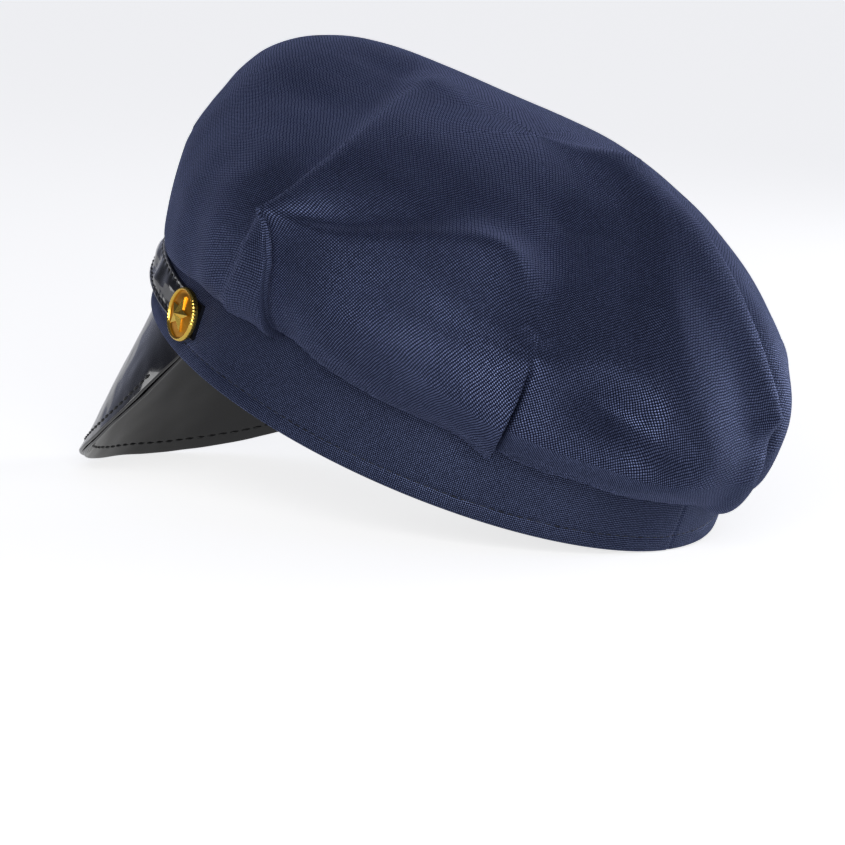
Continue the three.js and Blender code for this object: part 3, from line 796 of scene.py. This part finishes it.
def strap_relief(at, height):
    """Puckers at the two stitch rows, a padded swell between them, and a few soft waves."""
    arc = at * ARC
    from_edge = np.minimum(height - STRAP_LOW, STRAP_HIGH - height)
    row = bell(from_edge - STRAP_STITCH, 0.8)
    pucker = -0.16 * row * (1 + 0.6 * np.sin(2 * np.pi * arc / 3.9 + height))
    swell = 0.25 * smooth_step(from_edge, 1.5, 5)
    waves = soft_waves(arc, height * 1.4, 15.0, 41) * 0.24 * smooth_step(from_edge, 0.5, 4)
    return pucker + swell + waves


def strap_spot(at, height, inset):
    """A spot of the strap, `inset` in from its outer face."""
    low = (STRAP_HIGH - height) / (STRAP_HIGH - STRAP_LOW)
    loose = np.maximum(0, 1 - (at / BUTTON_AT) ** 2)
    return oval(at, GAP + STRAP_STAND * low * loose + STRAP_WALL - inset, height)


at = np.linspace(-STRAP_REACH, STRAP_REACH, 620)
top, foot = STRAP_HIGH - STRAP_ROUND, STRAP_LOW + STRAP_ROUND
height = np.linspace(top, foot, 44)[:, None] + 0 * at
face = strap_spot(at, height, -strap_relief(at, height))
half = np.linspace(0, np.pi, 7)[1:-1, None]
edge = STRAP_WALL / 2
low_edge = strap_spot(at, foot - STRAP_ROUND * np.sin(half), edge - edge * np.cos(half))
high_edge = strap_spot(at, top + STRAP_ROUND * np.sin(half), edge + edge * np.cos(half))
rear = strap_spot(at, height[::-1][::6], STRAP_WALL)
points = np.concatenate([face, low_edge, rear, high_edge])
strap = make_strip("strap_patent", points, 60)
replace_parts(strap, "strap")

strap_rows = []
at = np.linspace(-STRAP_REACH + 1, STRAP_REACH - 1, 700)
for row_height in (STRAP_LOW + STRAP_STITCH, STRAP_HIGH - STRAP_STITCH):
    height = np.full(at.shape, row_height)
    strap_rows.append((strap_spot(at, height, -strap_relief(at, height)), outward(at)))
strap_stitches = make_stitches("strap_stitching", strap_rows, 3.2, 0.7, 0.27)

# %% [markdown]
# ## The buttons
#
# Each end of the strap is held by a gilt shank button: a domed field with a raised five-pointed
# star inside a reeded rim. The disc is a profile turned about its axis, and its rim's radius
# waves in and out as it goes round. The star is ten ridges and valleys that run from its points
# and notches up to the middle.

# %% The buttons
BUTTON_HEIGHT = 14.0
BUTTON_RADIUS = 8.5
RIM_WIDTH = 1.25
RIM_HEIGHT = 2.3
FIELD = 1.45              # height of the field beside the rim
DOME = 2.1                # its height in the middle
REEDS = 44
STAR_TIP, STAR_NOTCH = 5.9, 2.45
STAR_FOOT, STAR_RISE = 2.4, 4.3   # heights of its edge and its middle
SHANK_RADIUS, SHANK_LENGTH = 1.5, 4.6


def button_axes(at):
    """Along the band, up the band and out of it, and the middle of the button's back."""
    out = outward(np.array(at))
    up = np.array([0.0, 0.0, 1.0])
    return np.stack([np.cross(up, out), up, out]), oval(at, STRAP_WALL + 2 * GAP, BUTTON_HEIGHT)


def button_disc(sides=264):
    """Points (rows, sides, 3) of the disc in the button's own frame: the shank, the rim by its
    distance in from the button's edge, and the domed field."""
    shank = [(0.02, -SHANK_LENGTH), (SHANK_RADIUS, -SHANK_LENGTH), (SHANK_RADIUS, -0.1),
             (SHANK_RADIUS + 0.2, 0)]
    rim = [(0.9, 0), (0.3, 0.15), (0.02, 0.6), (0, 1.1), (0.05, 1.7), (0.3, 2.15), (0.6, RIM_HEIGHT),
           (0.85, 2.2), (1.1, 1.8), (RIM_WIDTH, FIELD), (RIM_WIDTH + 0.4, FIELD - 0.05)]
    field = [(6.0, 1.62), (4.8, 1.80), (3.6, 1.94), (2.4, 2.03), (1.2, 2.08), (0.02, DOME)]
    profile = np.array([*shank, *((BUTTON_RADIUS - inwards, rise) for inwards, rise in rim), *field])
    turn = np.arange(sides) * 2 * np.pi / sides
    radius, rise = profile[:, :1], profile[:, 1:]
    reeded = smooth_step(radius, BUTTON_RADIUS - 1.15, BUTTON_RADIUS - 0.3) * smooth_step(rise, 0, 0.4)
    radius = radius - 0.16 * reeded * (1 - np.abs(np.cos(turn * REEDS / 2)))
    return np.stack([radius * np.cos(turn), radius * np.sin(turn), rise + 0 * turn], -1)


def star_points():
    """The star's foot, its shoulder just above, and its apex, in the button's own frame."""
    turn = np.pi / 2 + np.arange(10) * np.pi / 5
    radius = np.where(np.arange(10) % 2 == 0, STAR_TIP, STAR_NOTCH)
    flat_star = np.stack([radius * np.cos(turn), radius * np.sin(turn), np.zeros(10)], -1)
    foot = flat_star + [0, 0, FIELD - 0.2]
    shoulder = flat_star * [0.97, 0.97, 1] + [0, 0, STAR_FOOT]
    return np.concatenate([foot, shoulder, [[0, 0, STAR_RISE], [0, 0, FIELD - 0.2]]])


def make_button(name, at):
    """Disc and star, set on the strap at an angle."""
    axes, middle = button_axes(at)
    disc = button_disc()
    rows, sides = disc.shape[:2]
    first = rows * sides
    star = [grid_faces(2, 10, wrap_columns=True), fan(np.arange(10, 20), 20), fan(np.arange(10)[::-1], 21)]
    ends = [np.arange(sides)[None, ::-1], (np.arange(sides) + (rows - 1) * sides)[None]]
    local = np.concatenate([disc.reshape(-1, 3), star_points()])
    faces = [grid_faces(rows, sides, wrap_columns=True), *ends, *(part + first for part in star)]
    piece = make_piece(name, local @ axes + middle, faces, sharp=35)
    on_rim = smooth_step(np.hypot(local[:, 0], local[:, 1]), BUTTON_RADIUS - 1.3, BUTTON_RADIUS - 1.0)
    raised = np.where(np.arange(len(local)) < first, on_rim, 1.0).astype(np.float32)
    piece.data.attributes.new("raised", "FLOAT", "POINT").data.foreach_set("value", raised)
    return piece


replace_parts(make_button("button_left_gilt", BUTTON_AT), "button_left")
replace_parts(make_button("button_right_gilt", -BUTTON_AT), "button_right")

# %% [markdown]
# ## Finishes
#
# The cloth is a plain weave of smooth navy yarn. Woven threads go over and under by turns, so the
# weave is the product of two sines, one across each set of threads: its size gives the height and
# its sign says which set lies on top. It is read from the piece's own UV map, which is in metres
# of cloth, so the threads follow the pleats. A bump map would lose so fine a pattern from a
# distance, so the round backs of the threads are given to the shader as a leaning normal. The
# weave is a node group, used by crown and band.

# %% Help for building materials
def group_tree(name, inputs, outputs):
    """A shader node group with named sockets, and its input and output nodes."""
    tree = bpy.data.node_groups.new(name, "ShaderNodeTree")
    for socket, kind, value in inputs:
        made = tree.interface.new_socket(socket, in_out="INPUT", socket_type=kind)
        if value is not None:
            made.default_value = value
    for socket, kind in outputs:
        tree.interface.new_socket(socket, in_out="OUTPUT", socket_type=kind)
    return tree, tree.nodes.new("NodeGroupInput"), tree.nodes.new("NodeGroupOutput")


def feed(tree, node, **inputs):
    """Each input set or linked. It goes by its name, with _ for a space, or by i and its number."""
    for name, value in inputs.items():
        key = int(name[1:]) if name[0] == "i" and name[1:].isdigit() else name.replace("_", " ")
        if isinstance(value, bpy.types.NodeSocket):
            tree.links.new(value, node.inputs[key])
        else:
            node.inputs[key].default_value = value
    return node


def add_node(tree, kind, settings=None, **inputs):
    """A node with its settings and inputs."""
    node = tree.nodes.new(kind)
    for name, value in (settings or {}).items():
        setattr(node, name, value)
    return feed(tree, node, **inputs)


def calculate(tree, operation, a, b=0.0, c=0.0):
    """One Math node's result."""
    return add_node(tree, "ShaderNodeMath", {"operation": operation}, i0=a, i1=b, i2=c).outputs[0]


def vector(tree, operation, **inputs):
    """One Vector Math node's first result."""
    return add_node(tree, "ShaderNodeVectorMath", {"operation": operation}, **inputs).outputs[0]


def noise(tree, scale, detail):
    """One Noise Texture's value at a place on the object, with about `scale` lumps to a metre."""
    place = add_node(tree, "ShaderNodeTexCoord").outputs["Object"]
    return add_node(tree, "ShaderNodeTexNoise", Vector=place, Scale=scale, Detail=detail).outputs["Fac"]


def spread_over(tree, value, low, high, **inputs):
    """A value from 0 to 1, or between the given ends, spread from low to high and held there."""
    return add_node(tree, "ShaderNodeMapRange", Value=value, To_Min=low, To_Max=high, **inputs).outputs[0]


def blend(tree, share, low, high, clamp=True):
    """The colour that lies a share of the way from low to high; unclamped, also past either."""
    mix = add_node(tree, "ShaderNodeMix", {"data_type": "RGBA", "clamp_factor": clamp}, i0=share)
    mix.inputs[6].default_value = (*low, 1)
    mix.inputs[7].default_value = (*high, 1)
    return mix.outputs[2]


def new_finish(name, **settings):
    """A material with its Principled shader's own sockets set."""
    material = bpy.data.materials.new(name)
    material.use_nodes = True
    tree = material.node_tree
    shader = feed(tree, tree.nodes["Principled BSDF"], **settings)
    return material, tree, shader


def wear(material, *pieces):
    """Gives the material to each piece."""
    for piece in pieces:
        piece.data.materials.append(material)


# %% The weave
LEAN_ACROSS = 0.85        # how far the normal leans at the side of a thread
LEAN_ALONG = 0.3          # and where the thread dives under its neighbour


def weave_group():
    """Plain weave from a place on the cloth in metres, one thread to each pitch both ways.
    Height = |sin(pi x) sin(pi y)| ** 1.5 with x, y counted in threads; the product's sign says
    which set of threads is on top. Normal leans across the thread on top and, less, along it, as
    on a row of round threads that dive under their neighbours."""
    tree, given, result = group_tree(
        "plain_weave",
        [("Cloth", "NodeSocketVector", None), ("Pitch", "NodeSocketFloat", 0.0007),
         ("Facing", "NodeSocketVector", None), ("Across", "NodeSocketVector", None)],
        [("Height", "NodeSocketFloat"), ("Yarn", "NodeSocketFloat"), ("Normal", "NodeSocketVector")])
    per_metre = calculate(tree, "DIVIDE", 1.0, given.outputs["Pitch"])
    even = vector(tree, "SCALE", i0=given.outputs["Cloth"], Scale=per_metre)
    wander = add_node(tree, "ShaderNodeTexNoise", {"noise_dimensions": "2D"},
                      Vector=even, Scale=0.09, Detail=2.0)
    threads = vector(tree, "MULTIPLY_ADD", i0=wander.outputs["Color"], i1=(1.2, 1.2, 0.0), i2=even)
    parts = add_node(tree, "ShaderNodeSeparateXYZ", Vector=threads)
    turns = [calculate(tree, "MULTIPLY", parts.outputs[axis], np.pi) for axis in "XY"]
    product = calculate(tree, "MULTIPLY", *[calculate(tree, "SINE", turn) for turn in turns])
    height = calculate(tree, "POWER", calculate(tree, "ABSOLUTE", product), 1.5)
    first = calculate(tree, "GREATER_THAN", product, 0.0)
    cell = vector(tree, "FLOOR", i0=threads)
    yarn = add_node(tree, "ShaderNodeTexWhiteNoise", {"noise_dimensions": "2D"}, Vector=cell).outputs["Value"]
    inside = vector(tree, "FRACTION", i0=threads)
    centred = vector(tree, "MULTIPLY_ADD", i0=inside, i1=(2.0, 2.0, 0.0), i2=(-1.0, -1.0, 0.0))
    lean = add_node(tree, "ShaderNodeSeparateXYZ", Vector=centred)
    most_across = calculate(tree, "MULTIPLY_ADD", first, LEAN_ACROSS - LEAN_ALONG, LEAN_ALONG)
    most_along = calculate(tree, "MULTIPLY_ADD", first, LEAN_ALONG - LEAN_ACROSS, LEAN_ACROSS)
    lean_across = calculate(tree, "MULTIPLY", lean.outputs["X"], most_across)
    lean_along = calculate(tree, "MULTIPLY", lean.outputs["Y"], most_along)
    along = vector(tree, "CROSS_PRODUCT", i0=given.outputs["Facing"], i1=given.outputs["Across"])
    leaning = given.outputs["Facing"]
    for direction, amount in ((given.outputs["Across"], lean_across), (along, lean_along)):
        part = vector(tree, "SCALE", i0=direction, Scale=amount)
        leaning = vector(tree, "ADD", i0=leaning, i1=part)
    feed(tree, result, Height=height, Yarn=yarn, Normal=vector(tree, "NORMALIZE", i0=leaning))
    return tree


WEAVE = weave_group()
print("weave group:", len(WEAVE.nodes), "nodes")

# %% Navy cloth
SHEEN = 0.6                     # loose fibres, which show where the cloth is seen edge on
SHEEN_ROUGHNESS = 0.1
THREAD_ROUGHNESS = 0.33         # on the backs of the threads
GAP_ROUGHNESS = 0.9             # between the threads
# The colour in the gaps between the threads and in the pleats' slits, where shade is painted.
NAVY_IN_PAINTED_SHADE = (0.001, 0.0018, 0.012)
PAINTED_SLIT_DARKNESS = 0.9                 # how much of the colour the painted shade takes away where a pleat's slit lies


def navy_cloth(name, pitch, bright):
    """Woven cloth: bright on the backs of the threads and nearly black in the gaps between them, where
    shade is painted into the colour, as it is in the pleats' slits. Smooth yarn gleams in its own
    colour, which the shader's metal does; the sheen is its fibres."""
    material, tree, shader = new_finish(name, Sheen_Weight=SHEEN, Sheen_Roughness=SHEEN_ROUGHNESS,
                                        Sheen_Tint=(0.42, 0.49, 0.9, 1), Specular_IOR_Level=0.5, Metallic=0.6,
                                        Specular_Tint=(0.60, 0.70, 1.0, 1))
    place = add_node(tree, "ShaderNodeUVMap", {"uv_map": "cloth"})
    across = add_node(tree, "ShaderNodeTangent", {"direction_type": "UV_MAP", "uv_map": "cloth"}).outputs[0]
    facing = add_node(tree, "ShaderNodeNewGeometry").outputs["Normal"]
    weave = add_node(tree, "ShaderNodeGroup", {"node_tree": WEAVE}, Cloth=place.outputs[0], Pitch=pitch,
                     Facing=facing, Across=across)
    speck = calculate(tree, "MULTIPLY_ADD", weave.outputs["Yarn"], 0.4, 0.8)
    # Painted shade: the colour falls from the backs of the threads to nearly black in the gaps between them.
    tone = calculate(tree, "MULTIPLY", speck, weave.outputs["Height"])
    patchy = calculate(tree, "MULTIPLY_ADD", noise(tree, 28.0, 3.0), 0.5, 0.75)
    tone = calculate(tree, "MULTIPLY", tone, patchy)
    # Painted shade: the colour darkens where the mesh's slit attribute marks a pleat's slit.
    painted_shade_in_slit = add_node(tree, "ShaderNodeAttribute", {"attribute_name": "slit"})
    lit = calculate(tree, "MULTIPLY_ADD", painted_shade_in_slit.outputs["Fac"], -PAINTED_SLIT_DARKNESS, 1.0)
    tone = calculate(tree, "MULTIPLY", tone, lit)
    rough = spread_over(tree, weave.outputs["Height"], GAP_ROUGHNESS, THREAD_ROUGHNESS)
    feed(tree, shader, Base_Color=blend(tree, tone, NAVY_IN_PAINTED_SHADE, bright, clamp=False),
         Roughness=rough, Normal=weave.outputs["Normal"])
    return material


wear(navy_cloth("navy_crown_cloth", 0.00074, (0.155, 0.190, 0.354)), crown)
wear(navy_cloth("navy_band_cloth", 0.00060, (0.146, 0.180, 0.332)), headband)
thread, _, _ = new_finish("dark_thread", Roughness=0.6, Base_Color=(0.008, 0.010, 0.020, 1))
wear(thread, band_stitches)

# %% [markdown]
# ### Patent sheet
#
# Patent leather and its imitations are a dark sheet under a thick clear varnish. Nearly all of
# the light that it gives back is a reflection, so what matters is a smooth, slightly uneven
# surface: a very fine swell in the normal, and a rougher look where it has been handled.

# %% Black patent and its thread
HANDLED = 0.12            # how much rougher the varnish is where it has been handled


def black_patent(name, base, roughness):
    """Varnished sheet: the roughness and the fine swell of the surface come from two noises."""
    material, tree, shader = new_finish(name, Base_Color=(*base, 1), Coat_Weight=0.6, Coat_Roughness=0.03,
                                        Specular_IOR_Level=0.5)
    rough = spread_over(tree, noise(tree, 60.0, 4.0), roughness, roughness + HANDLED,
                        From_Min=0.35, From_Max=0.75)
    swell = noise(tree, 420.0, 2.0)
    bump = add_node(tree, "ShaderNodeBump", Strength=0.25, Distance=0.0001, Height=swell)
    feed(tree, shader, Roughness=rough, Normal=bump.outputs[0])
    return material


wear(black_patent("black_patent", (0.006, 0.006, 0.007), 0.07), peak, strap)
wear(black_patent("black_patent_underside", (0.008, 0.008, 0.009), 0.10), underside)
waxed, _, _ = new_finish("waxed_black_thread", Roughness=0.4, Base_Color=(0.010, 0.010, 0.011, 1))
wear(waxed, peak_stitches, strap_stitches)

# %% [markdown]
# ### Gilt
#
# The buttons are stamped metal with a bright yellow lacquer. Raised parts are rubbed bright, and
# the field stays a deeper orange.

# %% Gilt
FIELD_ORANGE, BRIGHT_YELLOW = (0.60, 0.27, 0.018), (1.0, 0.68, 0.13)
FIELD_ROUGHNESS, RUBBED_ROUGHNESS = 0.42, 0.2
gilt, tree, shader = new_finish("gilt_lacquer", Metallic=1.0)
raised = add_node(tree, "ShaderNodeAttribute", {"attribute_name": "raised"})
grain = noise(tree, 900.0, 3.0)
speckle = calculate(tree, "MULTIPLY_ADD", grain, 0.4, -0.2)
tone = calculate(tree, "ADD", raised.outputs["Fac"], speckle)
bump = add_node(tree, "ShaderNodeBump", Strength=0.2, Distance=0.00005, Height=grain)
feed(tree, shader, Base_Color=blend(tree, tone, FIELD_ORANGE, BRIGHT_YELLOW),
     Roughness=spread_over(tree, tone, FIELD_ROUGHNESS, RUBBED_ROUGHNESS), Normal=bump.outputs[0])
wear(gilt, bpy.data.objects["button_left_gilt"], bpy.data.objects["button_right_gilt"])
print("finishes:", ", ".join(m.name for m in bpy.data.materials))

# %% [markdown]
# ## Light and floor
#
# A white studio. To the eye the floor and what lies behind it are plain white; the light that
# they give is much weaker and a little blue, so that the folds keep their shades, and is strongest
# from behind the cap, which gives its far edges a pale rim. Three soft lights do the rest.

# %% Studio
BACKDROP_TURN = np.radians(22)   # from straight behind the cap to where the backdrop is brightest
BACKDROP_LIGHT = (0.08, 0.35)    # strength of the surroundings' light, on the whole and there
BACKDROP_TINT = (0.86, 0.91, 1.16)
REACH = 16                       # metres of floor each way, so that its edge is out of view
scene = bpy.context.scene
scene.view_settings.view_transform = "Standard"
world = bpy.data.worlds.new("studio")
scene.world = world
world.use_nodes = True
tree = world.node_tree
background = tree.nodes["Background"]
direction = add_node(tree, "ShaderNodeTexCoord").outputs["Generated"]
behind = (right * np.sin(BACKDROP_TURN) - back * np.cos(BACKDROP_TURN)) @ band_axes
facing = add_node(tree, "ShaderNodeVectorMath", {"operation": "DOT_PRODUCT"}, i0=direction, i1=tuple(behind))
soft = add_node(tree, "ShaderNodeMapRange", {"interpolation_type": "SMOOTHSTEP"},
                Value=facing.outputs["Value"], From_Min=0.2, From_Max=0.95,
                To_Min=BACKDROP_LIGHT[0], To_Max=BACKDROP_LIGHT[1])
seen = add_node(tree, "ShaderNodeLightPath").outputs["Is Camera Ray"]
strength = add_node(tree, "ShaderNodeMix", i0=seen, i2=soft.outputs[0], i3=1.0)
feed(tree, background, Strength=strength.outputs[0], Color=blend(tree, seen, BACKDROP_TINT, (1, 1, 1)))

floor_mesh = bpy.data.meshes.new("floor")
corners = [(-REACH, -REACH, 0), (REACH, -REACH, 0), (REACH, REACH, 0), (-REACH, REACH, 0)]
floor_mesh.from_pydata(corners, [], [(0, 1, 2, 3)])
floor = bpy.data.objects.new("floor", floor_mesh)
scene.collection.objects.link(floor)
floor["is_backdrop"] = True
paper, tree, shader = new_finish("white_paper", Roughness=0.9, Base_Color=(0.9, 0.9, 0.9, 1),
                                 Emission_Color=(1.0, 1.0, 1.0, 1))
rays = add_node(tree, "ShaderNodeLightPath").outputs
glow = calculate(tree, "MULTIPLY_ADD", rays["Is Camera Ray"], 0.75,
                 calculate(tree, "MULTIPLY", rays["Is Glossy Ray"], 0.3))
feed(tree, shader, Emission_Strength=glow)
wear(paper, floor)

strap_out = outward(np.array(BUTTON_AT))
mirrored = 2 * (strap_out @ back) * strap_out - back
# Name, direction from the cap in the band's own axes, distance, lift, size and power. The key
# stands behind the camera, the edge light grazes the back of the crown, and the card is there to
# be mirrored by the strap.
LIGHTS = [
    ("key", back, 1.6, 0.25, 0.9, 16.0),
    ("edge", right * 0.75 - back * 0.65, 1.4, 0.20, 0.5, 8.0),
    ("card", mirrored, 0.8, 0.0, 0.22, 0.25),
]
for name, toward, distance, lift, size, power in LIGHTS:
    light = bpy.data.lights.new(name, "AREA")
    light.size = size
    light.energy = power
    lamp = bpy.data.objects.new(name, light)
    scene.collection.objects.link(lamp)
    lamp.location = toward @ band_axes * distance + np.array([0, 0, lift])
    lamp.rotation_euler = (-lamp.location).to_track_quat("-Z", "Y").to_euler()
    print(name, "stands at", [round(value, 2) for value in lamp.location])

# %% Finish
size = {"cad": [list(corner) for corner in cad_box], "visual": [list(corner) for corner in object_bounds()]}
print(size)
